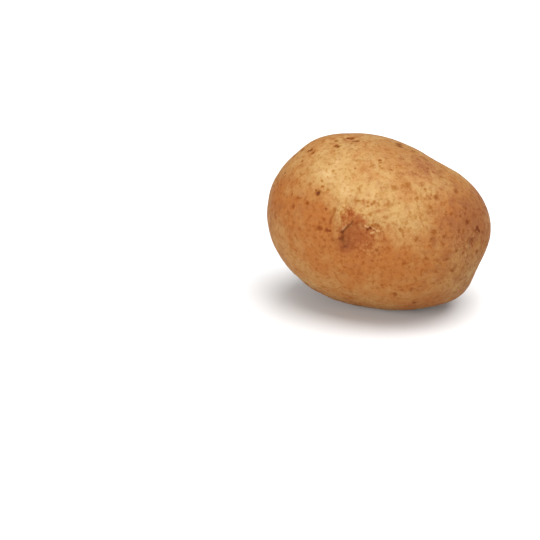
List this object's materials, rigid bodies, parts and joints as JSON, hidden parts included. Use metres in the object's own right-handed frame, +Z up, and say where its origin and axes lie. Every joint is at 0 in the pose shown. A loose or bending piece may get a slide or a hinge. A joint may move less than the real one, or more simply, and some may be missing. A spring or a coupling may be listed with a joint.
{
  "type": "potato",
  "caption": "Whole unpeeled potato lying on its side: a lumpy rounded oval with eyes set in shallow recesses and a small flat spot to rest on.",
  "frame": {"origin": "on the resting plane, under the middle of the tuber's bounding box", "axes": "+Z up from the resting plane; +X along the tuber's longest extent, to its bud end; -Y out of the front, the side with the large eye"},
  "size_m": [0.0858, 0.0714, 0.0652],
  "materials": {
    "potato_skin": "satin"
  },
  "bodies": {
    "root": {"potato": "potato_skin"}
  },
  "joints": []
}
